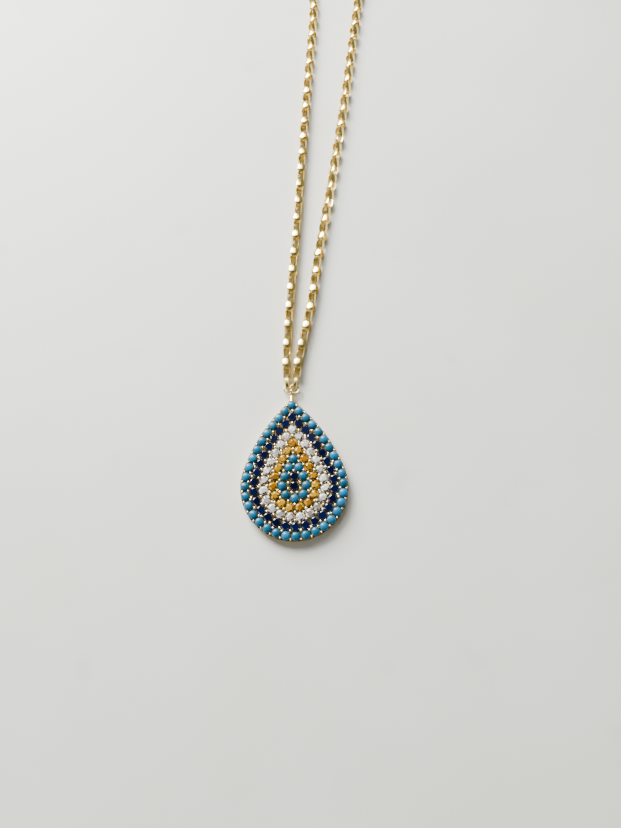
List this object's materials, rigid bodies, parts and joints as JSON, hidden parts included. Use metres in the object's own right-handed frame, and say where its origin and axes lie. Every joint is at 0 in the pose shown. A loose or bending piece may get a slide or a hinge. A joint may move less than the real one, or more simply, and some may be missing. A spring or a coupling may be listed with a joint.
{
  "type": "evil eye pendant necklace",
  "caption": "Teardrop evil eye pendant, pave-set with round turquoise, navy, clear and yellow stones in gold, on a fine chain with a spring ring clasp.",
  "frame": {"origin": "on the pendant's back face, under the middle of the pendant's own length and width (its chain left out)", "axes": "+Z out of the stones' face, away from the surface that the pendant lies on; +Y from the round end to the tip, where the chain runs on; +X to the right"},
  "size_m": [0.0247, 0.1089, 0.0022],
  "materials": {
    "gold": "polished pale yellow gold",
    "spring_steel": "bright drawn wire",
    "turquoise": "polished opaque cabochon",
    "navy_stone": "faceted, dark",
    "clear_stone": "faceted, clear",
    "yellow_stone": "faceted, golden yellow"
  },
  "bodies": {
    "chain": {"chain_left": "gold", "chain_right": "gold", "chain_coil": "gold", "end_link_left": "gold", "end_link_right": "gold", "end_link_clasp": "gold", "end_link_catch": "gold"},
    "jump_ring_right": {"jump_ring_right": "gold"},
    "jump_ring_left": {"jump_ring_left": "gold"},
    "pendant": {"pendant_setting": "gold", "pendant_loop": "gold", "turquoise_outer_row": "turquoise", "navy_row": "navy_stone", "clear_row": "clear_stone", "turquoise_inner_stone_01": "turquoise", "turquoise_inner_stone_02": "turquoise", "turquoise_inner_stone_03": "turquoise", "turquoise_inner_stone_04": "turquoise", "turquoise_inner_stone_05": "turquoise", "turquoise_inner_stone_06": "turquoise", "turquoise_inner_stone_07": "turquoise", "turquoise_inner_stone_08": "turquoise", "turquoise_inner_stone_09": "turquoise", "turquoise_inner_stone_10": "turquoise", "yellow_stone_01": "yellow_stone", "yellow_stone_02": "yellow_stone", "yellow_stone_03": "yellow_stone", "yellow_stone_04": "yellow_stone", "yellow_stone_05": "yellow_stone", "yellow_stone_06": "yellow_stone", "yellow_stone_07": "yellow_stone", "yellow_stone_08": "yellow_stone", "yellow_stone_09": "yellow_stone", "yellow_stone_10": "yellow_stone", "yellow_stone_11": "yellow_stone", "yellow_stone_12": "yellow_stone", "yellow_stone_13": "yellow_stone", "yellow_stone_14": "yellow_stone", "yellow_stone_15": "yellow_stone", "yellow_stone_16": "yellow_stone", "yellow_stone_17": "yellow_stone", "pupil_stone_1": "navy_stone", "pupil_stone_2": "navy_stone"},
    "clasp_jump_ring": {"clasp_jump_ring": "gold"},
    "clasp": {"clasp_eye": "gold", "clasp_body": "gold", "clasp_spring": "spring_steel"},
    "clasp_trigger": {"clasp_trigger": "gold"},
    "catch_ring": {"catch_ring": "gold"}
  },
  "joints": [
    {"name": "right_ring_hinge", "type": "hinge", "parent": "chain", "child": "jump_ring_right", "pos_m": [0.00037, 0.00996, 0.00059], "axis": [-1, 0, 0], "range_deg": [0, 60]},
    {"name": "left_ring_hinge", "type": "hinge", "parent": "chain", "child": "jump_ring_left", "pos_m": [-0.00037, 0.00996, 0.00059], "axis": [-1, 0, 0], "range_deg": [0, 60]},
    {"name": "pendant_swing", "type": "hinge", "parent": "jump_ring_right", "child": "pendant", "pos_m": [0, 0.00897, 0.00059], "axis": [-1, 0, 0], "range_deg": [0, 90]},
    {"name": "clasp_ring_hinge", "type": "hinge", "parent": "chain", "child": "clasp_jump_ring", "pos_m": [0.01142, 0.09365, 0.00054], "axis": [-1, 0, 0], "range_deg": [0, 60]},
    {"name": "clasp_swing", "type": "hinge", "parent": "clasp_jump_ring", "child": "clasp", "pos_m": [0.01142, 0.09239, 0.00054], "axis": [-1, 0, 0], "range_deg": [0, 60]},
    {"name": "trigger_draw", "type": "hinge", "parent": "clasp", "child": "clasp_trigger", "pos_m": [0.01142, 0.0894, 0.00054], "axis": [0, 0, -1], "range_deg": [0, 60], "stiffness_Nm_per_rad": 0.0002, "springref_deg": -17.19, "deforming": ["clasp_spring"]},
    {"name": "catch_ring_hinge", "type": "hinge", "parent": "chain", "child": "catch_ring", "pos_m": [0.00643, 0.09367, 0.00054], "axis": [-1, 0, 0], "range_deg": [0, 60]}
  ],
  "couplings": [
    {"joint": "left_ring_hinge", "follows": "right_ring_hinge", "ratio": 1}
  ]
}
